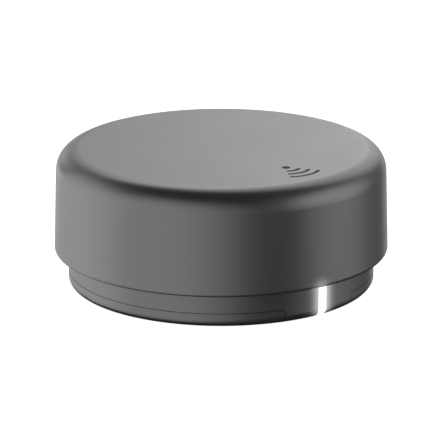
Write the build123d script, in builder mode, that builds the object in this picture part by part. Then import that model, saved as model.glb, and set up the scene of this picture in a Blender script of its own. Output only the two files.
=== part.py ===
from build123d import *
import os
from math import asin, degrees, sqrt

# A round wireless push-button puck for a meeting-room table, standing on its battery cover.
#
# A wide cap overhangs a slimmer base. The cap slides down on four guide posts against four
# coil springs and presses one switch in the middle of a round circuit board. The board lies on
# the deck of the base housing. Two AAA cells lie side by side under the deck, and the battery
# cover closes them in from below. A lit slot in the base's side shows the button's state.
#
# Frame: millimetres, +Z up, origin on the resting surface under the puck's centre. The lit slot
# faces -Y, and the cells lie along X.

# ---------------------------------------------------------------------------------------------
# Driving sizes
# ---------------------------------------------------------------------------------------------

# Outer shape
cap_diameter = 60.0  # over the skirt's lower edge, the widest place
body_height = 25.0  # from the base's underside to the top
cap_draft = 0.5  # the cap's radius is this much smaller at its top
cap_edge_radius = 4.0
skirt_height = 6.3  # from the base's underside to the skirt's lower edge
skirt_round = 0.6
base_edge_radius = 1.5
foot_proud = 0.35  # the foot ring stands this far out of the base
overlap = 0.2  # how far one block of a moulding runs into the next
cut_past = 1.0  # how far a cut runs past the face it opens

# Cap
cap_wall = 1.8
skirt_clearance = 0.7  # between the base's side and the inside of the skirt's lower edge
cap_top_thickness = 2.0
press_travel = 1.0
cap_stop_ribs = 8
stop_rib_thickness = 1.2
boss_radius = 2.4
boss_height = 2.8
screw_tip_room = 0.6  # beyond the end of each frame screw

# Cap frame, its guide posts and their springs
frame_thickness = 1.2
frame_side_gap = 0.4
hub_gap = 0.3  # between the hub over the switch and the cap
post_radius = 2.0
post_spacing_x = 26.0
post_clearance = 0.1
post_end_gap = 0.05  # between the retaining washers and the guide tubes
post_screw_length = 5.0
post_bore_depth = 6.0
tube_wall = 1.1
tube_bay_gap = 1.0
tube_foot_height = 6.0  # where the retaining washers meet the guide tubes
spring_wire = 0.4
spring_length = 3.0
spring_turns = 3.25
spring_side_gap = 0.35
frame_screw_circle = 18.0
frame_rim_height = 1.0

# Base housing and battery cover
base_wall = 1.5
deck_thickness = 1.2
bay_wall = 1.2
seam_height = 2.6  # from the base's underside
seam_gap = 0.1
cover_floor = 1.5
tab_half_angle = 16.1
tab_depth = 3.5
tab_corner_radius = 0.7
slot_block_width = 8.0
board_boss_radius = 2.2
board_boss_drop = 3.0  # below the deck
board_bore_depth = 4.0
locating_rib_height = 3.0
locating_rib_thickness = 1.1
locating_rib_half_angle = 12.0
locating_rib_gap = 0.15
locating_rib_offset = 8.0  # degrees from the battery bay's corner
snap_bead_height = 0.5
snap_bead_gap = 0.03
snap_bead_depth = 0.3
snap_bead_half_angle = 7.2
pull_notch_width = 12.0
pull_notch_height = 1.0
pull_notch_depth = 0.8
pull_notch_round = 0.6

# Foot ring and underside label
foot_outer_radius = 22.5
foot_width = 5.0
foot_recess = 0.6
foot_round = 0.15
foot_side_gap = 0.05
label_radius = 14.0
label_thickness = 0.1

# Cells and their contacts
cell_diameter = 10.5
cell_length = 44.5
cell_nub_radius = 1.9
cell_nub_length = 0.8
cell_edge_radius = 0.4
cell_nub_round = 0.3
cell_pitch = 10.8
cell_side_gap = 0.25
cushion_thickness = 0.4
cushion_width = 5.0
cushion_pitch = 28.0
cushion_end_gap = 1.0
contact_gap = 0.1
contact_thickness = 0.3
contact_bump = 0.3
contact_bump_gap = 0.05
contact_bump_radius = 1.5
contact_height = 8.0
contact_width = 8.0
contact_corner = 0.8
contact_tab_width = 2.0
contact_tab_inset = 1.9
contact_tab_end = 0.5  # above the board
contact_tab_hole_gap = 0.15
contact_spring_length = 2.35
contact_spring_wire = 0.5
contact_spring_turns = 2.0
contact_spring_radius = 3.4
contact_spring_tip_radius = 2.4

# Circuit board and what is on it
board_thickness = 1.0
board_standoff = 0.6
board_edge_gap = 0.8
board_tube_gap = 0.2
board_screw_x = 7.0
board_screw_y = 21.0
switch_side = 6.0
switch_height = 3.5
switch_corner = 0.4
leg_length = 1.4
leg_width = 0.7
leg_thickness = 0.25
leg_pitch = 4.0
plunger_spare = 0.1  # how much of the plunger still stands out when it is pressed
plunger_radius = 1.7
plunger_depth = 1.8
plunger_side_gap = 0.1
pad_thickness = 0.8
pad_radius = 2.2
pad_seat_radius = 2.5
hub_side_gap = 1.9  # between the switch's corners and the hub
touch_gap = 0.02  # between pieces that touch and can part
small_round = 0.2  # on the edges of soft and small pieces
bumper_thickness = 0.8
bumper_width = 1.6
bumper_edge_inset = 0.2
stop_gap = 0.05  # left between the stop ribs and the bumper at full stroke
rib_board_gap = 0.6
chip_side = 5.0
chip_height = 0.85
shield_length = 11.0
shield_width = 9.0
shield_height = 1.6
shield_wall = 0.2
shield_corner = 0.6
shield_y = 11.0
antenna_length = 5.0
antenna_width = 1.6
antenna_height = 1.1
antenna_place = (-21.0, 5.0)
antenna_turn = 75.0
inductor_side = 4.0
inductor_corner = 0.5
inductor_height = 1.7
inductor_place = (12.0, -6.0)
passive_length = 1.0
passive_width = 0.6
passive_height = 0.5
passive_step = 1.8
passive_row_places = [(-8.4, -4.0), (14.2, -10.5)]
passive_column_place = (9.0, 8.4)

# Light pipe
slot_width = 1.85
slot_flare = 0.8
slot_roof = 1.2  # left between the slot and the deck
pipe_side_gap = 0.05
pipe_face_inset = 0.1
pipe_stem_width = 3.2
pipe_stem_thickness = 1.2
pipe_stem_gap = 0.1
stem_foot_slope = 0.84
gasket_margin = 0.9
gasket_lip = 0.1
lamp_width = 1.6
lamp_depth = 0.8
lamp_gap = 0.15

# Screws and washers
screw_shank_radius = 0.85
screw_shank_gap = 0.02
screw_hole_gap = 0.3
screw_head_radius = 1.9
screw_head_height = 1.2
screw_head_round = 0.54
screw_tip_chamfer = 0.34
screw_recess_length = 2.1
screw_recess_width = 0.5
screw_recess_depth = 0.6
washer_radius = 3.0
washer_thickness = 0.5
washer_hole_gap = 0.15
board_screw_grip = 3.5

# ---------------------------------------------------------------------------------------------
# Sizes and places worked out from them
# ---------------------------------------------------------------------------------------------

total_height = foot_proud + body_height
skirt_bottom = foot_proud + skirt_height
cap_radius = cap_diameter / 2
cap_top_radius = cap_radius - cap_draft
base_radius = cap_radius - cap_wall - skirt_clearance
wall_inner_radius = base_radius - base_wall
cap_ceiling = total_height - cap_top_thickness

cover_bottom = foot_proud
cover_top = foot_proud + seam_height - seam_gap / 2
housing_bottom = foot_proud + seam_height + seam_gap / 2
cover_inside = cover_bottom + cover_floor

cell_radius = cell_diameter / 2
cell_y = cell_pitch / 2
cell_z = cover_inside + cushion_thickness + contact_gap + cell_radius
deck_bottom = cell_z + cell_radius + contact_gap
deck_top = deck_bottom + deck_thickness

board_bottom = deck_top + board_standoff
board_top = board_bottom + board_thickness
bumper_outer_radius = base_radius - bumper_edge_inset
bumper_inner_radius = bumper_outer_radius - bumper_width
board_radius = wall_inner_radius - board_edge_gap

frame_top = cap_ceiling - boss_height
frame_bottom = frame_top - frame_thickness
tube_top = frame_bottom - spring_length
tube_bore_radius = post_radius + post_clearance
tube_radius = tube_bore_radius + tube_wall
bay_half_width = cell_y + cell_radius + cell_side_gap
bay_outer_half_width = bay_half_width + bay_wall
post_y = bay_outer_half_width + tube_radius + tube_bay_gap
post_places = [(x * post_spacing_x / 2, y * post_y) for x in (-1, 1) for y in (-1, 1)]
post_end = tube_foot_height - post_end_gap
rib_inner_radius = board_radius + rib_board_gap
frame_radius = rib_inner_radius - frame_side_gap
rib_bottom = deck_top + bumper_thickness + press_travel + stop_gap

contact_face_x = cell_length / 2 + contact_spring_length / 2 + contact_bump / 2
contact_back_x = contact_face_x + contact_thickness
contact_middle_x = contact_face_x + contact_thickness / 2
terminal_tab_y = cell_y - contact_tab_inset
terminal_tab_places = [(contact_middle_x, terminal_tab_y), (contact_middle_x, -terminal_tab_y)]
contact_tab_hole_length = contact_thickness + 2 * contact_tab_hole_gap
contact_tab_hole_width = contact_tab_width + 2 * contact_tab_hole_gap
switch_top = board_top + switch_height
plunger_top = switch_top + press_travel + plunger_spare
pad_bottom = plunger_top + touch_gap
hub_inner_radius = switch_side / sqrt(2) + hub_side_gap
hub_top = cap_ceiling - hub_gap
hub_ceiling = hub_top - frame_thickness

quarters = [(0, -1), (1, 0), (0, 1), (-1, 0)]
frame_screw_places = [(frame_screw_circle * x, frame_screw_circle * y) for x, y in quarters]
board_screw_places = [(x * board_screw_x, y * board_screw_y) for x in (-1, 1) for y in (-1, 1)]
thread_radius = screw_shank_radius + screw_shank_gap

tab_inner_radius = base_radius - tab_depth
stem_outer = tab_inner_radius - pipe_side_gap
stem_inner = stem_outer - pipe_stem_thickness
stem_middle = (stem_outer + stem_inner) / 2
slot_top = deck_bottom - slot_roof

os.makedirs("parts", exist_ok=True)


# ---------------------------------------------------------------------------------------------
# Shapes that repeat
# ---------------------------------------------------------------------------------------------


def ring_sector(inner_radius, outer_radius, middle_angle, half_angle):
    """A piece of a flat ring about the origin, centred on middle_angle."""
    with BuildSketch() as sector:
        with BuildLine():
            outer = CenterArc((0, 0), outer_radius, middle_angle - half_angle, 2 * half_angle)
            inner = CenterArc((0, 0), inner_radius, middle_angle - half_angle, 2 * half_angle)
            Line(outer @ 0, inner @ 0)
            Line(outer @ 1, inner @ 1)
        make_face()
    return sector.sketch


def pan_head_screw(shank_length):
    """A cross-recess screw pointing up, its head's bearing face on the XY plane."""
    with BuildPart() as screw:
        Cylinder(screw_shank_radius, shank_length, align=(Align.CENTER, Align.CENTER, Align.MIN))
        Cylinder(screw_head_radius, screw_head_height, align=(Align.CENTER, Align.CENTER, Align.MAX))
        fillet(screw.edges().group_by(Axis.Z)[0], screw_head_round)
        chamfer(screw.edges().group_by(Axis.Z)[-1], screw_tip_chamfer)
        with BuildSketch(Plane.XY.offset(-screw_head_height)):
            Rectangle(screw_recess_length, screw_recess_width)
            Rectangle(screw_recess_width, screw_recess_length)
        extrude(amount=screw_recess_depth, mode=Mode.SUBTRACT)
    return screw.part


def coil_spring(mean_radius, wire, height, turns, tip_radius=None):
    """A round-wire spring standing on the XY plane, narrowing to tip_radius if that is given."""
    rise = height - wire
    lean = 0 if tip_radius is None else degrees(-asin((mean_radius - tip_radius) / rise))
    with BuildPart() as spring:
        with BuildLine():
            coil = Helix(rise / turns, rise, mean_radius, center=(0, 0, wire / 2), cone_angle=lean)
        with BuildSketch(Plane(origin=coil @ 0, z_dir=coil % 0)):
            Circle(wire / 2)
        sweep(is_frenet=True)
    return spring.part


def save(piece, name):
    """Labels a finished piece and writes it as one STEP file."""
    piece.part.label = name
    export_step(piece.part, f"parts/{name}.step")


# ---------------------------------------------------------------------------------------------
# Cap: the pressed shell, its inner frame and what moves with them
# ---------------------------------------------------------------------------------------------

with BuildPart() as press_cap:
    with BuildSketch(Plane.XZ):
        with BuildLine():
            Polyline(
                (0, total_height),
                (cap_top_radius, total_height),
                (cap_radius, skirt_bottom),
                (cap_radius - cap_wall, skirt_bottom),
                (cap_top_radius - cap_wall, cap_ceiling),
                (0, cap_ceiling),
                close=True,
            )
        make_face()
        fillet(vertices().group_by(Axis.Y)[0], skirt_round)
        inner_corner = vertices().group_by(Axis.Y)[-2].sort_by(Axis.X)[-1]
        fillet(inner_corner, cap_edge_radius - cap_wall)
        outer_corner = vertices().group_by(Axis.Y)[-1].sort_by(Axis.X)[-1]
        fillet(outer_corner, cap_edge_radius)
    revolve(axis=Axis.Z)
    # Ribs that meet the bumper ring at the end of the stroke
    with BuildSketch(Plane.XY.offset(rib_bottom)):
        rib_outer_radius = cap_radius - cap_wall
        rib_circle = (rib_inner_radius + rib_outer_radius) / 2
        with PolarLocations(rib_circle, cap_stop_ribs, start_angle=180 / cap_stop_ribs):
            Rectangle(rib_outer_radius - rib_inner_radius, stop_rib_thickness)
    extrude(amount=cap_ceiling - rib_bottom + overlap)
    # Bosses for the frame screws
    with BuildSketch(Plane.XY.offset(frame_top)):
        with Locations(frame_screw_places):
            Circle(boss_radius)
    extrude(amount=boss_height + overlap)
    with BuildSketch(Plane.XY.offset(frame_top)):
        with Locations(frame_screw_places):
            Circle(thread_radius)
    extrude(amount=boss_height + screw_tip_room, mode=Mode.SUBTRACT)
save(press_cap, "press_cap")

with BuildPart() as cap_frame:
    with BuildSketch(Plane.XY.offset(frame_bottom)):
        Circle(frame_radius)
        Circle(hub_inner_radius, mode=Mode.SUBTRACT)
        with Locations(frame_screw_places):
            Circle(screw_shank_radius + screw_hole_gap, mode=Mode.SUBTRACT)
    extrude(amount=frame_thickness)
    # The hub rises over the switch and carries the pusher
    with BuildSketch(Plane.XY.offset(frame_bottom)):
        Circle(hub_inner_radius + frame_thickness)
        Circle(hub_inner_radius, mode=Mode.SUBTRACT)
    extrude(amount=hub_top - frame_bottom)
    with BuildSketch(Plane.XY.offset(hub_ceiling)):
        Circle(hub_inner_radius + frame_thickness)
    extrude(amount=hub_top - hub_ceiling)
    with BuildSketch(Plane.XY.offset(pad_bottom + pad_thickness)):
        Circle(pad_seat_radius)
    extrude(amount=hub_ceiling - pad_bottom - pad_thickness + overlap)
    # Guide posts
    with BuildSketch(Plane.XY.offset(post_end)):
        with Locations(post_places):
            Circle(post_radius)
    extrude(amount=frame_bottom - post_end + overlap)
    with BuildSketch(Plane.XY.offset(post_end)):
        with Locations(post_places):
            Circle(thread_radius)
    extrude(amount=post_bore_depth, mode=Mode.SUBTRACT)
    # Stiffening ring under the rim
    with BuildSketch(Plane.XY.offset(frame_top)):
        Circle(frame_radius)
        Circle(frame_radius - frame_thickness, mode=Mode.SUBTRACT)
    extrude(amount=frame_rim_height)
save(cap_frame, "cap_frame")

with BuildPart() as cap_frame_screws:
    with Locations([Location((x, y, frame_bottom)) for x, y in frame_screw_places]):
        add(pan_head_screw(frame_thickness + boss_height))
save(cap_frame_screws, "cap_frame_screws")

with BuildPart() as post_washers:
    with BuildSketch(Plane.XY.offset(post_end)):
        with Locations(post_places):
            Circle(washer_radius)
            Circle(screw_shank_radius + washer_hole_gap, mode=Mode.SUBTRACT)
    extrude(amount=-washer_thickness)
save(post_washers, "post_washers")

with BuildPart() as post_screws:
    with Locations([Location((x, y, post_end - washer_thickness)) for x, y in post_places]):
        add(pan_head_screw(post_screw_length))
save(post_screws, "post_screws")

with BuildPart() as pusher_pad:
    with BuildSketch(Plane.XY.offset(pad_bottom)):
        Circle(pad_radius)
    extrude(amount=pad_thickness)
    fillet(pusher_pad.edges().group_by(Axis.Z)[0], small_round)
save(pusher_pad, "pusher_pad")

with BuildPart() as return_springs:
    with Locations([Location((x, y, tube_top + touch_gap)) for x, y in post_places]):
        add(
            coil_spring(
                post_radius + spring_side_gap + spring_wire / 2,
                spring_wire,
                spring_length - 2 * touch_gap,
                spring_turns,
            )
        )
save(return_springs, "return_springs")

# ---------------------------------------------------------------------------------------------
# Base housing: outer wall, deck, battery bay, guide tubes and the tab with the lit slot
# ---------------------------------------------------------------------------------------------

with BuildPart() as cover_room:
    # The space the cover's rim takes, with a corner rounded at each end to match the cover's
    with BuildSketch(Plane.XY.offset(cover_bottom - cut_past)):
        room_inner_radius = wall_inner_radius - overlap
        add(ring_sector(room_inner_radius, base_radius + cut_past, 90, 180 - tab_half_angle))
    extrude(amount=housing_bottom - cover_bottom + cut_past)
    fillet(cover_room.edges().filter_by(GeomType.LINE).group_by(Axis.Z)[-1], tab_corner_radius + seam_gap)

with BuildPart() as base_housing:
    with BuildSketch(Plane.XY.offset(cover_bottom)):
        Circle(base_radius)
        Circle(wall_inner_radius, mode=Mode.SUBTRACT)
    extrude(amount=deck_top - cover_bottom)
    # Tab that comes down between the cover's ends
    with BuildSketch(Plane.XY.offset(cover_bottom)):
        add(ring_sector(tab_inner_radius, base_radius, -90, tab_half_angle))
    extrude(amount=housing_bottom - cover_bottom + overlap)
    add(cover_room.part, mode=Mode.SUBTRACT)
    with BuildSketch(Plane.XY.offset(deck_bottom)):
        Circle(base_radius)
    extrude(amount=deck_thickness)
    # Battery bay: two long walls and two end blocks that back the contacts
    with BuildSketch(Plane.XY.offset(housing_bottom)):
        Rectangle(2 * base_radius, 2 * bay_outer_half_width)
        Circle(wall_inner_radius + overlap, mode=Mode.INTERSECT)
        Rectangle(2 * contact_back_x, 2 * bay_half_width, mode=Mode.SUBTRACT)
    extrude(amount=deck_bottom - housing_bottom + overlap)
    # Guide tubes for the cap's posts
    with BuildSketch(Plane.XY.offset(tube_foot_height)):
        with Locations(post_places):
            Circle(tube_radius)
    extrude(amount=tube_top - tube_foot_height)
    # Bosses under the board
    with BuildSketch(Plane.XY.offset(deck_bottom - board_boss_drop)):
        with Locations(board_screw_places):
            Circle(board_boss_radius)
    extrude(amount=board_bottom - deck_bottom + board_boss_drop)
    # Block around the slot, and the tab's rounded lower edge
    with BuildSketch(Plane.XY.offset(cover_bottom)):
        Rectangle(slot_block_width, 2 * (wall_inner_radius + overlap))
        Circle(wall_inner_radius + overlap, mode=Mode.INTERSECT)
        Circle(tab_inner_radius, mode=Mode.SUBTRACT)
        with Locations((0, base_radius)):
            Rectangle(2 * base_radius, 2 * base_radius, mode=Mode.SUBTRACT)
    extrude(amount=deck_bottom - cover_bottom + overlap)
    tab_edge = edges().filter_by(GeomType.CIRCLE).group_by(Axis.Z)[0].sort_by(SortBy.RADIUS)[-1]
    fillet(tab_edge, base_edge_radius)
    # Bores and threads
    with BuildSketch(Plane.XY.offset(tube_foot_height)):
        with Locations(post_places):
            Circle(tube_bore_radius)
    extrude(amount=tube_top - tube_foot_height, mode=Mode.SUBTRACT)
    with BuildSketch(Plane.XY.offset(board_bottom)):
        with Locations(board_screw_places):
            Circle(thread_radius)
    extrude(amount=-board_bore_depth, mode=Mode.SUBTRACT)
    # The slot, open at the bottom, with its two lower corners rounded
    with BuildSketch(Plane.XZ.offset(tab_inner_radius - overlap)):
        with BuildLine():
            Polyline(
                (-slot_width / 2, slot_top),
                (-slot_width / 2, cover_bottom),
                (-slot_width * 2, cover_bottom),
                (-slot_width * 2, cover_bottom - cut_past),
                (slot_width * 2, cover_bottom - cut_past),
                (slot_width * 2, cover_bottom),
                (slot_width / 2, cover_bottom),
                (slot_width / 2, slot_top),
                close=True,
            )
        make_face()
        lower_corners = vertices().group_by(Axis.Y)[1].sort_by(Axis.X)[1:3]
        fillet(lower_corners, slot_flare)
    extrude(amount=tab_depth + cut_past, mode=Mode.SUBTRACT)
    # Way through the deck for the light pipe's stem
    with BuildSketch(Plane.XY.offset(deck_bottom - overlap)):
        with Locations((0, -stem_middle)):
            Rectangle(pipe_stem_width + 2 * pipe_stem_gap, pipe_stem_thickness + 2 * pipe_stem_gap)
    extrude(amount=deck_thickness + 2 * overlap, mode=Mode.SUBTRACT)
    # Ways through the deck for the two terminal tabs
    with BuildSketch(Plane.XY.offset(deck_bottom - overlap)):
        with Locations(terminal_tab_places):
            Rectangle(contact_tab_hole_length, contact_tab_hole_width)
    extrude(amount=deck_thickness + 2 * overlap, mode=Mode.SUBTRACT)
save(base_housing, "base_housing")

with BuildPart() as bumper_ring:
    with BuildSketch(Plane.XY.offset(deck_top)):
        Circle(bumper_outer_radius)
        Circle(bumper_inner_radius, mode=Mode.SUBTRACT)
    extrude(amount=bumper_thickness)
    fillet(bumper_ring.edges().group_by(Axis.Z)[-1], small_round)
save(bumper_ring, "bumper_ring")

# ---------------------------------------------------------------------------------------------
# Light pipe, its gasket and the lamp that feeds it
# ---------------------------------------------------------------------------------------------

with BuildPart() as light_pipe:
    face_radius = base_radius - pipe_face_inset
    with BuildSketch(Plane.YZ.offset(-slot_width / 2 + pipe_side_gap)):
        with BuildLine():
            Polyline(
                (-face_radius, slot_top - pipe_side_gap),
                (-face_radius, cover_bottom + pipe_face_inset),
                (-tab_inner_radius, cover_bottom + pipe_face_inset),
                (-tab_inner_radius, cover_top),
                (-stem_middle, cover_top),
                (-stem_middle, slot_top - pipe_side_gap),
                close=True,
            )
        make_face()
        fillet(vertices().group_by(Axis.Y)[0].sort_by(Axis.X)[0], base_edge_radius - pipe_face_inset)
    extrude(amount=slot_width - 2 * pipe_side_gap)
    # Stem behind the slot, up through the deck to the lamp
    with BuildSketch(Plane.XY.offset(cover_top)):
        with Locations((0, -stem_middle)):
            Rectangle(pipe_stem_width, pipe_stem_thickness)
    extrude(amount=deck_top - cover_top)
    # Sloped foot of the stem, which turns the light forwards
    stem_foot = light_pipe.edges().filter_by(Axis.X).sort_by(Axis.Y)[-2:]
    chamfer(stem_foot.sort_by(Axis.Z)[0], stem_foot_slope)
save(light_pipe, "light_pipe")

with BuildPart() as light_gasket:
    with BuildSketch(Plane.XY.offset(deck_top)):
        with Locations((0, -stem_middle)):
            Rectangle(pipe_stem_width + 2 * gasket_margin, pipe_stem_thickness + 2 * gasket_margin)
            opening_depth = pipe_stem_thickness - 2 * gasket_lip
            Rectangle(pipe_stem_width - 2 * gasket_lip, opening_depth, mode=Mode.SUBTRACT)
    extrude(amount=board_standoff)
save(light_gasket, "light_gasket")

with BuildPart() as status_lamp:
    with BuildSketch(Plane.XY.offset(board_bottom)):
        with Locations((0, -stem_middle)):
            Rectangle(lamp_width, lamp_depth)
    extrude(amount=lamp_gap - board_standoff)
save(status_lamp, "status_lamp")

# ---------------------------------------------------------------------------------------------
# Circuit board and its parts
# ---------------------------------------------------------------------------------------------

with BuildPart() as main_board:
    with BuildSketch(Plane.XY.offset(board_bottom)):
        Circle(board_radius)
        with Locations(post_places):
            Circle(tube_radius + board_tube_gap, mode=Mode.SUBTRACT)
        with Locations(board_screw_places):
            Circle(screw_shank_radius + screw_hole_gap, mode=Mode.SUBTRACT)
        with Locations(terminal_tab_places):
            Rectangle(contact_tab_hole_length, contact_tab_hole_width, mode=Mode.SUBTRACT)
    extrude(amount=board_thickness)
save(main_board, "main_board")

with BuildPart() as board_screws:
    with Locations([Location((x, y, board_top), (180, 0, 0)) for x, y in board_screw_places]):
        add(pan_head_screw(board_thickness + board_screw_grip))
save(board_screws, "board_screws")

with BuildPart() as switch_body:
    with BuildSketch(Plane.XY.offset(board_top)):
        Rectangle(switch_side, switch_side)
    extrude(amount=switch_height)
    chamfer(switch_body.edges().filter_by(Axis.Z), switch_corner)
    with BuildSketch(Plane.XY.offset(switch_top)):
        Circle(plunger_radius + plunger_side_gap)
    extrude(amount=-(plunger_depth + press_travel + plunger_side_gap), mode=Mode.SUBTRACT)
    # Gull legs on two sides
    with BuildSketch(Plane.XY.offset(board_top)):
        with GridLocations(switch_side + leg_length - overlap, leg_pitch, 2, 2):
            Rectangle(leg_length, leg_width)
    extrude(amount=leg_thickness)
save(switch_body, "switch_body")

with BuildPart() as switch_plunger:
    with BuildSketch(Plane.XY.offset(switch_top - plunger_depth)):
        Circle(plunger_radius)
    extrude(amount=plunger_depth + press_travel + plunger_spare)
    fillet(switch_plunger.edges().group_by(Axis.Z)[-1], small_round)
save(switch_plunger, "switch_plunger")

with BuildPart() as radio_chip:
    with BuildSketch(Plane.XY.offset(board_top)):
        with Locations((0, shield_y)):
            Rectangle(chip_side, chip_side)
    extrude(amount=chip_height)
save(radio_chip, "radio_chip")

with BuildPart() as shield_can:
    with BuildSketch(Plane.XY.offset(board_top)):
        with Locations((0, shield_y)):
            RectangleRounded(shield_length, shield_width, shield_corner)
    extrude(amount=shield_height)
    with BuildSketch(Plane.XY.offset(board_top)):
        with Locations((0, shield_y)):
            RectangleRounded(
                shield_length - 2 * shield_wall,
                shield_width - 2 * shield_wall,
                shield_corner - shield_wall,
            )
    extrude(amount=shield_height - shield_wall, mode=Mode.SUBTRACT)
save(shield_can, "shield_can")

with BuildPart() as chip_antenna:
    with BuildSketch(Plane.XY.offset(board_top)):
        with Locations(Location(antenna_place, antenna_turn)):
            Rectangle(antenna_length, antenna_width)
    extrude(amount=antenna_height)
save(chip_antenna, "chip_antenna")

with BuildPart() as power_inductor:
    with BuildSketch(Plane.XY.offset(board_top)):
        with Locations(inductor_place):
            RectangleRounded(inductor_side, inductor_side, inductor_corner)
    extrude(amount=inductor_height)
save(power_inductor, "power_inductor")

# Small capacitors and resistors: one row beside the switch, one by the inductor, one by the shield
with BuildPart() as board_chips:
    with BuildSketch(Plane.XY.offset(board_top)):
        with Locations(passive_row_places):
            with GridLocations(passive_step, 1, 5, 1):
                Rectangle(passive_length, passive_width)
        with Locations(passive_column_place):
            with GridLocations(1, passive_step, 1, 4):
                Rectangle(passive_length, passive_width)
    extrude(amount=passive_height)
save(board_chips, "board_chips")

# ---------------------------------------------------------------------------------------------
# Cells and contacts. Each cell's positive end points the other way from its neighbour's.
# ---------------------------------------------------------------------------------------------


def aaa_cell():
    """A cell along +X with its negative end at the origin."""
    body_length = cell_length - cell_nub_length
    with BuildPart() as cell:
        with BuildSketch(Plane.XZ):
            with BuildLine():
                Polyline(
                    (0, 0),
                    (0, cell_radius),
                    (body_length, cell_radius),
                    (body_length, cell_nub_radius),
                    (cell_length, cell_nub_radius),
                    (cell_length, 0),
                    close=True,
                )
            make_face()
            fillet(vertices().group_by(Axis.Y)[-1], cell_edge_radius)
            fillet(vertices().group_by(Axis.X)[-1].sort_by(Axis.Y)[-1], cell_nub_round)
        revolve(axis=Axis.X)
    return cell.part


cell_start = -contact_face_x + contact_spring_length
with BuildPart() as battery_cell_rear:
    with Locations(Location((cell_start, cell_y, cell_z))):
        add(aaa_cell())
save(battery_cell_rear, "battery_cell_rear")

with BuildPart() as battery_cell_front:
    with Locations(Location((-cell_start, -cell_y, cell_z), (0, 0, 180))):
        add(aaa_cell())
save(battery_cell_front, "battery_cell_front")


def terminal(side):
    """A contact plate at the +X end of the cell on that side of the bay, with its tab up to the board."""
    with BuildPart() as plate:
        with BuildSketch(Plane.YZ.offset(contact_face_x)):
            with Locations((side * cell_y, cell_z)):
                RectangleRounded(contact_width, contact_height, contact_corner)
            tab_base = cell_z + contact_height / 2 - overlap
            tab_top = board_top + contact_tab_end
            with Locations((side * terminal_tab_y, (tab_base + tab_top) / 2)):
                Rectangle(contact_tab_width, tab_top - tab_base)
        extrude(amount=contact_thickness)
    return plate.part


with BuildPart() as positive_terminal:
    add(terminal(1))
    with BuildSketch(Plane.YZ.offset(contact_face_x)):
        with Locations((cell_y, cell_z)):
            Circle(contact_bump_radius)
    extrude(amount=contact_bump_gap - contact_bump)
save(positive_terminal, "positive_terminal")

with BuildPart() as negative_terminal:
    add(terminal(-1))
save(negative_terminal, "negative_terminal")

with BuildPart() as bridge_contact:
    with BuildSketch(Plane.YZ.offset(-contact_face_x)):
        with Locations((0, cell_z)):
            RectangleRounded(cell_pitch + contact_width, contact_height, contact_corner)
    extrude(amount=-contact_thickness)
    with BuildSketch(Plane.YZ.offset(-contact_face_x)):
        with Locations((-cell_y, cell_z)):
            Circle(contact_bump_radius)
    extrude(amount=contact_bump - contact_bump_gap)
save(bridge_contact, "bridge_contact")

with BuildPart() as contact_springs:
    spring_height = contact_spring_length - 2 * touch_gap
    with Locations(
        Location((-contact_face_x + touch_gap, cell_y, cell_z), (0, 90, 0)),
        Location((contact_face_x - touch_gap, -cell_y, cell_z), (0, -90, 0)),
    ):
        add(
            coil_spring(
                contact_spring_radius,
                contact_spring_wire,
                spring_height,
                contact_spring_turns,
                contact_spring_tip_radius,
            )
        )
save(contact_springs, "contact_springs")

# ---------------------------------------------------------------------------------------------
# Battery cover and what is on it
# ---------------------------------------------------------------------------------------------

with BuildPart() as battery_cover:
    with BuildSketch(Plane.XY.offset(cover_bottom)):
        Circle(base_radius)
    extrude(amount=cover_top - cover_bottom)
    fillet(battery_cover.edges().group_by(Axis.Z)[0], base_edge_radius)
    # Notch for the housing's tab, with the cover's upper corners rounded beside it
    gap_angle = degrees(seam_gap / base_radius)
    with BuildSketch(Plane.XY.offset(cover_bottom - cut_past)):
        notch_radius = tab_inner_radius - seam_gap
        add(ring_sector(notch_radius, base_radius + cut_past, -90, tab_half_angle + gap_angle))
    extrude(amount=cover_top - cover_bottom + 2 * cut_past, mode=Mode.SUBTRACT)
    fillet(edges().filter_by(GeomType.LINE).group_by(Axis.Z)[-1], tab_corner_radius)
    # Hollow above the floor, open towards the cells
    with BuildSketch(Plane.XY.offset(cover_inside)):
        Circle(wall_inner_radius)
    extrude(amount=cover_top - cover_inside, mode=Mode.SUBTRACT)
    # Ribs that slide up inside the housing's wall, clear of the bay and the slot block
    bay_angle = degrees(asin(bay_outer_half_width / wall_inner_radius))
    rib_angle = bay_angle + locating_rib_offset + locating_rib_half_angle
    rib_angles = (rib_angle, 180 - rib_angle, 180 + rib_angle, -rib_angle)
    with BuildSketch(Plane.XY.offset(cover_inside - overlap)):
        rib_face = wall_inner_radius - locating_rib_gap
        for middle in rib_angles:
            add(ring_sector(rib_face - locating_rib_thickness, rib_face, middle, locating_rib_half_angle))
    extrude(amount=locating_rib_height + overlap)
    # A bead along each rib's upper edge bears on the housing's wall
    with BuildSketch(Plane.XY.offset(cover_inside + locating_rib_height)):
        bead_face = wall_inner_radius - snap_bead_gap
        for middle in rib_angles:
            add(ring_sector(rib_face - snap_bead_depth, bead_face, middle, snap_bead_half_angle))
    extrude(amount=-snap_bead_height)
    # Finger notch at the back, in the seam
    with BuildSketch(Plane.XZ.offset(-base_radius - cut_past)):
        with Locations((0, cover_top)):
            RectangleRounded(pull_notch_width, 2 * pull_notch_height, pull_notch_round)
    extrude(amount=cut_past + pull_notch_depth, mode=Mode.SUBTRACT)
    # Recess for the foot ring
    with BuildSketch(Plane.XY.offset(cover_bottom)):
        Circle(foot_outer_radius + foot_side_gap)
        Circle(foot_outer_radius - foot_width - foot_side_gap, mode=Mode.SUBTRACT)
    extrude(amount=foot_recess, mode=Mode.SUBTRACT)
save(battery_cover, "battery_cover")

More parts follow.
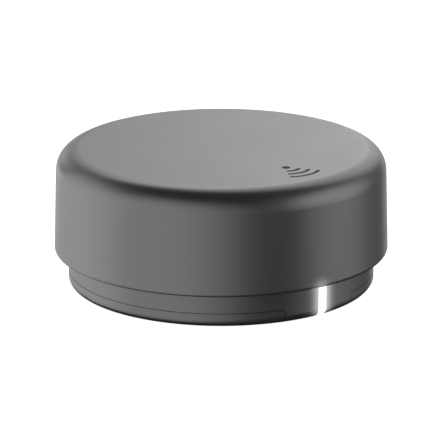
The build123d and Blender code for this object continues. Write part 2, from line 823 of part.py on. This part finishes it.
with BuildPart() as foot_ring:
    with BuildSketch(Plane.XY):
        Circle(foot_outer_radius)
        Circle(foot_outer_radius - foot_width, mode=Mode.SUBTRACT)
    extrude(amount=foot_proud + foot_recess)
    fillet(foot_ring.edges().group_by(Axis.Z)[0], foot_round)
save(foot_ring, "foot_ring")

with BuildPart() as cell_cushions:
    with BuildSketch(Plane.XY.offset(cover_inside)):
        with GridLocations(cushion_pitch, 1, 2, 1):
            RectangleRounded(cushion_width, 2 * (bay_half_width - cushion_end_gap), small_round)
    extrude(amount=cushion_thickness)
save(cell_cushions, "cell_cushions")

with BuildPart() as underside_label:
    with BuildSketch(Plane.XY.offset(cover_bottom)):
        Circle(label_radius)
    extrude(amount=-label_thickness)
save(underside_label, "underside_label")
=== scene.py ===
import math

import bmesh
import bpy
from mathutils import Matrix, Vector


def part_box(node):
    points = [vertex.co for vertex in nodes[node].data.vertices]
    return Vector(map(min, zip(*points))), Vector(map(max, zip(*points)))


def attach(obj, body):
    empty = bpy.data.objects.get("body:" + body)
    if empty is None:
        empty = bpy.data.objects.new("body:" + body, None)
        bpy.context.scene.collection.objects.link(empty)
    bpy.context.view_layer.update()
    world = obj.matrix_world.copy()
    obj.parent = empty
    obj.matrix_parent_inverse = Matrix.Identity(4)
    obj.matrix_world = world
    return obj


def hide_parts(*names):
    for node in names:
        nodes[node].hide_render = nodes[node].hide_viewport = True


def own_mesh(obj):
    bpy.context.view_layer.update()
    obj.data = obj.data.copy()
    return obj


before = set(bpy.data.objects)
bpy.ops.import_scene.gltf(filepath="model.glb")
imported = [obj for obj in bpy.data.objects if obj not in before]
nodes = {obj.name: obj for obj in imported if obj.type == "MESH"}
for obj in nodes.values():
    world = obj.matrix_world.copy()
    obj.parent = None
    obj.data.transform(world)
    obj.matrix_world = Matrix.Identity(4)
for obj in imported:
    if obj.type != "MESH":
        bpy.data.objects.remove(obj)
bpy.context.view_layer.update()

MM = 0.001

# Places on the object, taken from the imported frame
cap_low, cap_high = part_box("press_cap")
housing_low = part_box("base_housing")[0]
cell_low, cell_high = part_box("battery_cell_rear")
top_z = cap_high.z
cap_radius = cap_high.x
rim_z = cap_low.z

# ---------------------------------------------------------------------------------------------
# Camera: a long lens, a little above the puck, with the slot 40 degrees to its right
# ---------------------------------------------------------------------------------------------

CAMERA_AZIMUTH = -40.27
CAMERA_ELEVATION = 16.8
CAMERA_DISTANCE = 0.651
LENS_MM = 303.1
SENSOR_MM = 36
SHIFT_X = -0.01435
SHIFT_Y = -0.0032
NEAREST_SEEN = 0.01
FARTHEST_SEEN = 20


def towards(azimuth, elevation):
    """Unit vector from the puck, azimuth in degrees from -Y towards +X, elevation above the table."""
    a, e = math.radians(azimuth), math.radians(elevation)
    return Vector((math.sin(a) * math.cos(e), -math.cos(a) * math.cos(e), math.sin(e)))


def make_camera():
    camera = bpy.data.objects.new("camera", bpy.data.cameras.new("camera"))
    bpy.context.scene.collection.objects.link(camera)
    back = towards(CAMERA_AZIMUTH, CAMERA_ELEVATION)
    middle = Vector((0, 0, (housing_low.z + top_z) / 2))
    camera.location = middle + back * CAMERA_DISTANCE
    camera.rotation_mode = "QUATERNION"
    camera.rotation_quaternion = (-back).to_track_quat("-Z", "Y")
    camera.data.lens = LENS_MM
    camera.data.sensor_width = SENSOR_MM
    camera.data.shift_x = SHIFT_X
    camera.data.shift_y = SHIFT_Y
    camera.data.clip_start = NEAREST_SEEN
    camera.data.clip_end = FARTHEST_SEEN
    bpy.context.scene.camera = camera


make_camera()
bpy.context.scene.view_settings.view_transform = "Standard"

# ---------------------------------------------------------------------------------------------
# Node helpers
# ---------------------------------------------------------------------------------------------

MIX_FACTOR, MIX_A, MIX_B, MIX_COLOUR = 0, 6, 7, 2  # a colour mix's sockets, by place
NOISE_LOW, NOISE_HIGH = 0.3, 0.7  # most of a noise texture's values lie between these


class Tree:
    """A node tree with short ways to add and join nodes."""

    def __init__(self, tree):
        self.tree = tree

    def add(self, kind, **values):
        """A node with its properties set, and its inputs set or joined. An input's name has _ for
        each space, or is i and its place, such as i0."""
        node = self.tree.nodes.new("ShaderNode" + kind)
        for key, value in values.items():
            if hasattr(node, key) and not hasattr(value, "is_output"):
                setattr(node, key, value)
                continue
            by_place = key[0] == "i" and key[1:].isdigit()
            self.feed(node.inputs[int(key[1:]) if by_place else key.replace("_", " ")], value)
        return node

    def feed(self, socket, value):
        """Join value to an input if it is a socket, or set the input to it."""
        if hasattr(value, "is_output"):
            self.tree.links.new(value, socket)
        else:
            socket.default_value = value

    def math(self, operation, a, b=0.0):
        return self.add("Math", operation=operation, i0=a, i1=b).outputs[0]

    def ramp(self, value, start, end, low=0.0, high=1.0):
        """value carried smoothly from start..end to low..high, level outside."""
        return self.add(
            "MapRange",
            interpolation_type="SMOOTHSTEP",
            Value=value,
            From_Min=start,
            From_Max=end,
            To_Min=low,
            To_Max=high,
        ).outputs[0]

    def mix(self, factor, colour_a, colour_b):
        node = self.add("Mix", data_type="RGBA")
        self.feed(node.inputs[MIX_FACTOR], factor)
        self.feed(node.inputs[MIX_A], colour_a)
        self.feed(node.inputs[MIX_B], colour_b)
        return node.outputs[MIX_COLOUR]

    def noise(self, place, scale, detail=2.0, roughness=0.5):
        return self.add(
            "TexNoise", Vector=place, Scale=scale, Detail=detail, Roughness=roughness
        ).outputs[0]

    def place(self):
        """Where a point is on the object at rest, in metres."""
        return self.add("TexCoord").outputs["Object"]

    def place_xyz(self):
        parts = self.add("SeparateXYZ", Vector=self.place())
        return parts.outputs[0], parts.outputs[1], parts.outputs[2]

    def dot(self, direction, aim):
        return self.add("VectorMath", operation="DOT_PRODUCT", i0=direction, i1=aim).outputs["Value"]


def grey(value, warmth=0.0):
    return (value * (1 + warmth), value, value * (1 - warmth), 1.0)


def shaded(colour, factor):
    return (colour[0] * factor, colour[1] * factor, colour[2] * factor, 1.0)


def new_material(name, **sockets):
    """A material with one principled shader; returns it, its tree and the shader."""
    material = bpy.data.materials.new(name)
    material.use_nodes = True
    tree = Tree(material.node_tree)
    shader = material.node_tree.nodes["Principled BSDF"]
    for key, value in sockets.items():
        shader.inputs[key.replace("_", " ")].default_value = value
    return material, tree, shader


FINE_SHARE, BROAD_SHARE = 0.55, 0.45  # of the colour's variation
BROAD_RATIO = 60  # the broad variation's size over the grain's
BROAD_LOW, BROAD_HIGH = 0.35, 0.65


def grain(tree, shader, colour, variation, roughness, spread, size, depth, stretch=(1, 1, 1)):
    """Fine grain: colour and roughness that vary a little, and bumps of that size and depth in metres."""
    mapped = tree.add("Mapping", Vector=tree.place(), Scale=stretch).outputs[0]
    fine = tree.noise(mapped, 1 / size, detail=3.0, roughness=0.6)
    broad = tree.noise(mapped, 1 / (BROAD_RATIO * size))
    both = tree.math(
        "ADD", tree.math("MULTIPLY", fine, FINE_SHARE), tree.math("MULTIPLY", broad, BROAD_SHARE)
    )
    tint = tree.mix(both, shaded(colour, 1 - variation), shaded(colour, 1 + variation))
    tree.feed(shader.inputs["Base Color"], tint)
    rough = tree.ramp(broad, BROAD_LOW, BROAD_HIGH, roughness - spread, roughness + spread)
    tree.feed(shader.inputs["Roughness"], rough)
    bump = tree.add("Bump", Strength=1.0, Distance=depth, Height=fine)
    tree.feed(shader.inputs["Normal"], bump.outputs[0])


def plain(
    name,
    colour,
    roughness,
    metallic=0.0,
    variation=0.05,
    spread=0.03,
    size=0.2 * MM,
    depth=0.002 * MM,
    stretch=(1, 1, 1),
):
    material, tree, shader = new_material(name, Metallic=metallic)
    grain(tree, shader, colour, variation, roughness, spread, size, depth, stretch)
    return material


def give(material, *names):
    for name in names:
        nodes[name].data.materials.clear()
        nodes[name].data.materials.append(material)


# ---------------------------------------------------------------------------------------------
# Shell: satin graphite finish on the cap, the housing and the battery cover
# ---------------------------------------------------------------------------------------------

CAP_GREY = grey(0.2)
# The base's grey is the cap's made a little darker: painted shade for the weaker low light on the base
BASE_GREY_WITH_PAINTED_SHADE = grey(0.187)
SHELL_METALLIC = 0.8
SHELL_VARIATION = 0.03
SHELL_ROUGHNESS = 0.3
SHELL_SPREAD = 0.012
SHELL_GRAIN = 0.16 * MM
SHELL_DEPTH = 0.0006 * MM

# Painted glow: emission painted on the shell round the slot, standing in for the slot's light on it and
# its bloom
GLOW_COLOUR = (1.0, 0.99, 0.97, 1.0)
SLOT_HALF_WIDTH = 0.925 * MM
PAINTED_EDGE_GLOW = 0.445
PAINTED_GLOW_REACH = 1.08 * MM
PAINTED_GLOW_FALL = 1.5  # power of the distance in the glow's fall
PAINTED_GLOW_FOOT = 0.6 * MM
PAINTED_GLOW_FULL = 1.6 * MM
PAINTED_GLOW_FOOT_SHARE = 0.1
PAINTED_GLOW_FRONT_FULL = 3 * MM  # behind the housing's front
PAINTED_GLOW_FRONT_END = 4 * MM
# Painted bloom: emission painted on the cap's skirt, centred a little to the -X side of the slot
PAINTED_BLOOM = 0.25
PAINTED_BLOOM_REACH = 0.98 * MM
PAINTED_BLOOM_CENTRE = Vector((-2.5 * MM, -cap_radius, rim_z))


def shell(name, colour, painted_glow):
    """The shell's finish, with a painted glow: the given function tells how strongly emission is painted
    on at a point, standing in for the slot's light.
    """
    material, tree, shader = new_material(name, Metallic=SHELL_METALLIC)
    grain(
        tree, shader, colour, SHELL_VARIATION, SHELL_ROUGHNESS, SHELL_SPREAD, SHELL_GRAIN, SHELL_DEPTH
    )
    shader.inputs["Emission Color"].default_value = GLOW_COLOUR
    tree.feed(shader.inputs["Emission Strength"], painted_glow(tree))
    return material


def housing_painted_glow(tree):
    """Painted glow: emission brightest along the slot's edges, fading sideways and down towards the
    rounded lower edge.
    """
    x, y, z = tree.place_xyz()
    past_edge = tree.math("SUBTRACT", tree.math("ABSOLUTE", x), SLOT_HALF_WIDTH)
    share = tree.math("DIVIDE", tree.math("MAXIMUM", past_edge, 0.0), PAINTED_GLOW_REACH)
    fall = tree.math("POWER", share, PAINTED_GLOW_FALL)
    near = tree.math("EXPONENT", tree.math("MULTIPLY", fall, -1.0))
    front = tree.ramp(y, housing_low.y + PAINTED_GLOW_FRONT_FULL, housing_low.y + PAINTED_GLOW_FRONT_END, PAINTED_EDGE_GLOW, 0.0)
    foot = tree.ramp(z, PAINTED_GLOW_FOOT, PAINTED_GLOW_FULL, PAINTED_GLOW_FOOT_SHARE, 1.0)
    return tree.math("MULTIPLY", near, tree.math("MULTIPLY", front, foot))


def cap_painted_bloom(tree):
    """A painted bloom: soft round emission painted on the skirt's lower edge above the slot."""
    away = tree.add("VectorMath", operation="DISTANCE", i0=tree.place(), i1=PAINTED_BLOOM_CENTRE).outputs["Value"]
    fall = tree.math("POWER", tree.math("DIVIDE", away, PAINTED_BLOOM_REACH), 2.0)
    near = tree.math("EXPONENT", tree.math("MULTIPLY", fall, -0.5))
    return tree.math("MULTIPLY", near, PAINTED_BLOOM)


# Both shells get emission painted round the slot: a painted glow on the housing, a painted bloom on the
# cap
give(shell("cap_finish_and_painted_bloom", CAP_GREY, cap_painted_bloom), "press_cap")
give(shell("base_finish_and_painted_glow", BASE_GREY_WITH_PAINTED_SHADE, housing_painted_glow), "base_housing", "battery_cover")

# ---------------------------------------------------------------------------------------------
# Light pipe and lamp
# ---------------------------------------------------------------------------------------------

PIPE_COLOUR = (0.9, 0.92, 0.94, 1)
PIPE_ROUGHNESS = 0.35
PIPE_CLOUD_SCALE = 900.0
PIPE_GLOW_LOW, PIPE_GLOW_HIGH = 1.2, 1.4


def light_pipe_finish():
    material, tree, shader = new_material(
        "light_pipe_finish", Base_Color=PIPE_COLOUR, Roughness=PIPE_ROUGHNESS
    )
    cloud = tree.noise(tree.place(), PIPE_CLOUD_SCALE)
    shader.inputs["Emission Color"].default_value = GLOW_COLOUR
    strength = tree.ramp(cloud, NOISE_LOW, NOISE_HIGH, PIPE_GLOW_LOW, PIPE_GLOW_HIGH)
    tree.feed(shader.inputs["Emission Strength"], strength)
    return material


give(light_pipe_finish(), "light_pipe")
give(plain("lamp_finish", (0.9, 0.86, 0.6, 1), roughness=0.25), "status_lamp")

# ---------------------------------------------------------------------------------------------
# Everything inside and underneath
# ---------------------------------------------------------------------------------------------

CERAMIC = (0.55, 0.45, 0.32, 1)

INNER_FINISHES = (
    (dict(name="frame_plastic", colour=grey(0.035), roughness=0.5), "cap_frame"),
    (
        dict(name="screw_steel", colour=grey(0.55, 0.01), roughness=0.3, metallic=1.0),
        "cap_frame_screws",
        "post_screws",
        "post_washers",
        "board_screws",
    ),
    (
        dict(
            name="contact_nickel",
            colour=grey(0.62, 0.03),
            roughness=0.28,
            metallic=1.0,
            stretch=(1, 6, 1),
        ),
        "positive_terminal",
        "negative_terminal",
        "bridge_contact",
        "contact_springs",
    ),
    (
        dict(name="can_tin", colour=grey(0.6), roughness=0.35, metallic=1.0, stretch=(8, 1, 1)),
        "shield_can",
    ),
    (
        dict(name="soft_silicone", colour=grey(0.05), roughness=0.7, variation=0.12),
        "pusher_pad",
        "bumper_ring",
        "light_gasket",
    ),
    (
        dict(
            name="foot_rubber", colour=grey(0.03), roughness=0.75, variation=0.15, depth=0.01 * MM
        ),
        "foot_ring",
    ),
    (
        dict(
            name="foam",
            colour=grey(0.04),
            roughness=0.9,
            variation=0.3,
            size=0.35 * MM,
            depth=0.06 * MM,
        ),
        "cell_cushions",
    ),
    (dict(name="switch_plastic", colour=grey(0.03), roughness=0.45), "switch_body"),
    (dict(name="plunger_plastic", colour=grey(0.5, 0.06), roughness=0.45), "switch_plunger"),
    (
        dict(name="chip_resin", colour=grey(0.025), roughness=0.5, variation=0.2),
        "radio_chip",
        "power_inductor",
    ),
    (
        dict(name="ceramic", colour=CERAMIC, roughness=0.5, variation=0.15),
        "board_chips",
        "chip_antenna",
    ),
    (
        dict(name="label_film", colour=grey(0.35), roughness=0.45, variation=0.02),
        "underside_label",
    ),
)

for look, *names in INNER_FINISHES:
    give(plain(**look), *names)

BOARD_CELL_SCALE = 420.0
TRACK_FULL, TRACK_END = 0.02, 0.05
TRACK_HEIGHT = 0.02 * MM


def board_finish():
    """Solder mask over copper tracks that show as paler lines."""
    material, tree, shader = new_material("board_finish", Roughness=0.35)
    cells = tree.add(
        "TexVoronoi",
        feature="DISTANCE_TO_EDGE",
        distance="EUCLIDEAN",
        Vector=tree.place(),
        Scale=BOARD_CELL_SCALE,
    )
    track = tree.ramp(cells.outputs["Distance"], TRACK_FULL, TRACK_END, 1.0, 0.0)
    tint = tree.mix(track, (0.01, 0.09, 0.045, 1), (0.025, 0.16, 0.08, 1))
    tree.feed(shader.inputs["Base Color"], tint)
    bump = tree.add("Bump", Strength=1.0, Distance=TRACK_HEIGHT, Height=track)
    tree.feed(shader.inputs["Normal"], bump.outputs[0])
    return material


give(board_finish(), "main_board")

BAND_LENGTH = 14 * MM  # from the nub's tip
BAND_EDGE = 0.2 * MM
NUB_BARE = 0.9 * MM  # from the nub's tip
FOOT_BARE = 0.35 * MM
BARE_EDGE = 0.05 * MM
JACKET_COLOUR = grey(0.03)
BAND_COLOUR = (0.5, 0.28, 0.08, 1)
CAN_COLOUR = grey(0.6)
BAND_METALLIC = 0.6
WEAR_SCALE = 700.0
WEAR_ROUGHNESS = (0.24, 0.36)


def cell_finish(name, positive_end):
    """Printed jacket with a plain coloured band at the positive end, and bare metal at both ends."""
    material, tree, shader = new_material(name)
    place = tree.place()
    x = tree.add("SeparateXYZ", Vector=place).outputs[0]
    along = x if positive_end > 0 else tree.math("MULTIPLY", x, -1.0)
    tip = cell_high.x
    band = tree.ramp(along, tip - BAND_LENGTH - BAND_EDGE, tip - BAND_LENGTH)
    nub = tree.ramp(along, tip - NUB_BARE - BARE_EDGE, tip - NUB_BARE)
    foot = tree.ramp(along, cell_low.x + FOOT_BARE, cell_low.x + FOOT_BARE + BARE_EDGE, 1.0, 0.0)
    bare = tree.math("MAXIMUM", nub, foot)
    jacket = tree.mix(band, JACKET_COLOUR, BAND_COLOUR)
    tree.feed(shader.inputs["Base Color"], tree.mix(bare, jacket, CAN_COLOUR))
    metallic = tree.math("MAXIMUM", bare, tree.math("MULTIPLY", band, BAND_METALLIC))
    tree.feed(shader.inputs["Metallic"], metallic)
    wear = tree.noise(place, WEAR_SCALE, detail=3.0)
    tree.feed(shader.inputs["Roughness"], tree.ramp(wear, NOISE_LOW, NOISE_HIGH, *WEAR_ROUGHNESS))
    return material


give(cell_finish("cell_rear_finish", 1), "battery_cell_rear")
give(cell_finish("cell_front_finish", -1), "battery_cell_front")

# ---------------------------------------------------------------------------------------------
# Printed mark on the cap: a dot and three arcs, for a wireless button
# ---------------------------------------------------------------------------------------------

MARK_START = 17.6 * MM
MARK_DOT_RADIUS = 0.75 * MM
MARK_DOT_STEPS = 40
MARK_ARCS = (2.3 * MM, 4.1 * MM, 5.9 * MM)
MARK_HALF_ANGLE = math.radians(32)
MARK_STROKE = 0.66 * MM
ARC_STEPS = 28
ARC_END_STEPS = 8
INK_THICKNESS = 0.008 * MM
INK_GREY = grey(0.025)
INK_SPECULAR = 0.2


def front_vector(angle):
    """Unit vector in the table's plane, angle in radians from -Y towards +X."""
    return Vector((math.sin(angle), -math.cos(angle), 0))


def arc_stroke(mesh, centre, radius, half_angle, width, z):
    """A flat arc with round ends, bulging towards -Y."""
    outline = []
    for side in (1, -1):
        for k in range(ARC_STEPS + 1):
            a = side * (-half_angle + 2 * half_angle * k / ARC_STEPS)
            outline.append(centre + front_vector(a) * (radius + side * width / 2))
        end = centre + front_vector(side * half_angle) * radius
        start = side * half_angle + (0 if side > 0 else math.pi)
        for k in range(1, ARC_END_STEPS):
            outline.append(end + front_vector(start + math.pi * k / ARC_END_STEPS) * (width / 2))
    raise_outline(mesh, outline, z)


def raise_outline(mesh, outline, z):
    """A closed slab of ink of that outline, half sunk in the surface at z."""
    low = [mesh.verts.new((p.x, p.y, z - INK_THICKNESS)) for p in outline]
    high = [mesh.verts.new((p.x, p.y, z + INK_THICKNESS)) for p in outline]
    mesh.faces.new(high)
    mesh.faces.new(list(reversed(low)))
    count = len(outline)
    for k in range(count):
        j = (k + 1) % count
        mesh.faces.new((low[k], low[j], high[j], high[k]))


def add_piece(name, mesh, material, smooth=False):
    data = bpy.data.meshes.new(name)
    bmesh.ops.recalc_face_normals(mesh, faces=mesh.faces)
    bmesh.ops.triangulate(mesh, faces=[f for f in mesh.faces if len(f.verts) > 4])
    mesh.to_mesh(data)
    mesh.free()
    for polygon in data.polygons:
        polygon.use_smooth = smooth
    data.materials.append(material)
    piece = bpy.data.objects.new(name, data)
    bpy.context.scene.collection.objects.link(piece)
    return piece


def make_mark():
    mesh = bmesh.new()
    centre = Vector((0, -MARK_START, 0))
    turns = [math.tau * k / MARK_DOT_STEPS for k in range(MARK_DOT_STEPS)]
    circle = [centre + Vector((math.cos(a), math.sin(a), 0)) * MARK_DOT_RADIUS for a in turns]
    raise_outline(mesh, circle, top_z)
    for radius in MARK_ARCS:
        arc_stroke(mesh, centre, radius, MARK_HALF_ANGLE, MARK_STROKE, top_z)
    ink = plain("mark_ink", INK_GREY, roughness=0.6, variation=0.1)
    shader = ink.node_tree.nodes["Principled BSDF"]
    shader.inputs["Specular IOR Level"].default_value = INK_SPECULAR
    piece = add_piece("printed_mark", mesh, ink)
    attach(piece, "cap")


make_mark()

# ---------------------------------------------------------------------------------------------
# Return springs, drawn at rest; the real ones shorten as the cap goes down
# ---------------------------------------------------------------------------------------------

COIL_RADIUS = 2.55 * MM
SPRING_WIRE = 0.2 * MM
SPRING_TURNS = 3.25
COIL_STEPS = 130
WIRE_STEPS = 12
UP = Vector((0, 0, 1))


def coil(mesh, cx, cy, low_z, high_z):
    """One closed coil of round wire between two heights."""
    rings = []
    for k in range(COIL_STEPS + 1):
        share = k / COIL_STEPS
        a = math.tau * SPRING_TURNS * share
        out = Vector((math.cos(a), math.sin(a), 0))
        z = low_z + SPRING_WIRE + (high_z - low_z - 2 * SPRING_WIRE) * share
        middle = Vector((cx, cy, z)) + out * COIL_RADIUS
        ring = []
        for n in range(WIRE_STEPS):
            b = math.tau * n / WIRE_STEPS
            ring.append(mesh.verts.new(middle + (out * math.cos(b) + UP * math.sin(b)) * SPRING_WIRE))
        rings.append(ring)
    join_rings(mesh, rings)
    mesh.faces.new(rings[0])
    mesh.faces.new(list(reversed(rings[-1])))


def join_rings(mesh, rings):
    """Faces between each ring of points and the next."""
    for one, two in zip(rings, rings[1:]):
        count = len(one)
        for n in range(count):
            m = (n + 1) % count
            mesh.faces.new((one[n], one[m], two[m], two[n]))


def make_springs():
    low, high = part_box("return_springs")
    mesh = bmesh.new()
    reach_x = high.x - COIL_RADIUS - SPRING_WIRE
    reach_y = high.y - COIL_RADIUS - SPRING_WIRE
    for cx in (-reach_x, reach_x):
        for cy in (-reach_y, reach_y):
            coil(mesh, cx, cy, low.z, high.z)
    steel = plain("spring_steel", grey(0.5), roughness=0.28, metallic=1.0)
    piece = add_piece("coil_springs", mesh, steel, smooth=True)
    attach(piece, "base")
    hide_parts("return_springs")
    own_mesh(piece)


make_springs()

# ---------------------------------------------------------------------------------------------
# Floor, backdrop and light
# ---------------------------------------------------------------------------------------------

# Soft light fields round the puck: azimuth from the camera's side towards its right, elevation,
# where each is full and where it ends, all in degrees, and its strength. A negative one darkens.
LIGHT_FIELDS = (
    (-120, -1, 2, 60, 0.90),
    (-31, -3, 23, 68, 0.43),
    (84, 10, 0, 44, 0.84),
    (166, 37, 2, 39, 1.12),
    (167, -6, 1, 25, 0.63),
    (92, 0, 15, 74, 0.26),
    (-65, -11, 22, 79, 0.40),
    (-163, 0, 5, 23, 0.58),
    (72, -29, 5, 38, -0.23),
    (-158, 15, 19, 25, -0.77),
    (-165, 20, 13, 29, 0.64),
)
LIGHT_GAIN = 1.07

# The light is white behind the puck and a little cool elsewhere
COOL_LIGHT = (0.99, 1.0, 1.042, 1.0)
WHITE_LIGHT = (1.0, 1.0, 1.0, 1.0)
WHITE_AIM = towards(CAMERA_AZIMUTH + 180, 10)
WHITE_START, WHITE_FULL = -0.1, 0.75  # cosines of the angle from that aim

STAGE_RADIUS = 3.0
STAGE_DROP = 0.02 * MM
STAGE_BEND = 0.8
STAGE_BEND_STEPS = 8
STAGE_HEIGHT = 2.5
STAGE_HOLE = 0.024
STAGE_STEPS = 96
FIBRE_SCALE = 400.0
CONTACT_SHADE_RADIUS = 0.028


def make_light():
    world = bpy.data.worlds.new("studio")
    bpy.context.scene.world = world
    world.use_nodes = True
    tree = Tree(world.node_tree)
    around = tree.add("TexCoord").outputs["Generated"]
    total = 0.0
    for azimuth, elevation, inner, outer, strength in LIGHT_FIELDS:
        facing = tree.dot(around, towards(CAMERA_AZIMUTH + azimuth, elevation))
        edge, core = math.cos(math.radians(outer)), math.cos(math.radians(inner))
        total = tree.math("ADD", total, tree.ramp(facing, edge, core, 0.0, strength * LIGHT_GAIN))
    background = world.node_tree.nodes["Background"]
    white = tree.ramp(tree.dot(around, WHITE_AIM), WHITE_START, WHITE_FULL)
    tree.feed(background.inputs["Color"], tree.mix(white, COOL_LIGHT, WHITE_LIGHT))
    tree.feed(background.inputs["Strength"], tree.math("MAXIMUM", total, 0.0))


def lathe(mesh, profile):
    """A surface turned about the Z axis from points given as radius and height."""
    angles = [math.tau * n / STAGE_STEPS for n in range(STAGE_STEPS)]
    turns = [(math.cos(a), math.sin(a)) for a in angles]
    rings = [[mesh.verts.new((radius * c, radius * s, z)) for c, s in turns] for radius, z in profile]
    join_rings(mesh, rings)


def make_stage():
    """A pale floor that curves up into a backdrop all round. It gives the puck no light of its own.
    A hole under the puck leaves its underside in view from below."""
    mesh = bmesh.new()
    floor_end = STAGE_RADIUS - STAGE_BEND
    profile = [(STAGE_HOLE, -STAGE_DROP), (floor_end, -STAGE_DROP)]
    for k in range(1, STAGE_BEND_STEPS + 1):
        a = math.pi / 2 * k / STAGE_BEND_STEPS
        rise = STAGE_BEND * (1 - math.cos(a))
        profile.append((floor_end + STAGE_BEND * math.sin(a), rise - STAGE_DROP))
    profile.append((STAGE_RADIUS, STAGE_HEIGHT))
    lathe(mesh, profile)
    material, tree, shader = new_material("stage_paper", Roughness=0.9)
    fibre = tree.noise(tree.place(), FIBRE_SCALE)
    tree.feed(shader.inputs["Base Color"], tree.mix(fibre, grey(0.86), grey(0.9)))
    shader.inputs["Emission Color"].default_value = (1, 1, 1, 1)
    shader.inputs["Emission Strength"].default_value = 1.0
    stage = add_piece("stage", mesh, material, smooth=True)
    stage.visible_diffuse = False
    stage.visible_glossy = False
    stage.visible_transmission = False
    stage.visible_shadow = False


def make_contact_shade():
    """The dark of the floor close under the puck, seen only in the underside's reflections."""
    mesh = bmesh.new()
    lathe(mesh, [(STAGE_HOLE, -STAGE_DROP), (CONTACT_SHADE_RADIUS, -STAGE_DROP)])
    shade = add_piece("contact_shade", mesh, plain("shade_black", grey(0.002), roughness=1.0))
    shade.visible_camera = False


make_light()
make_stage()
make_contact_shade()
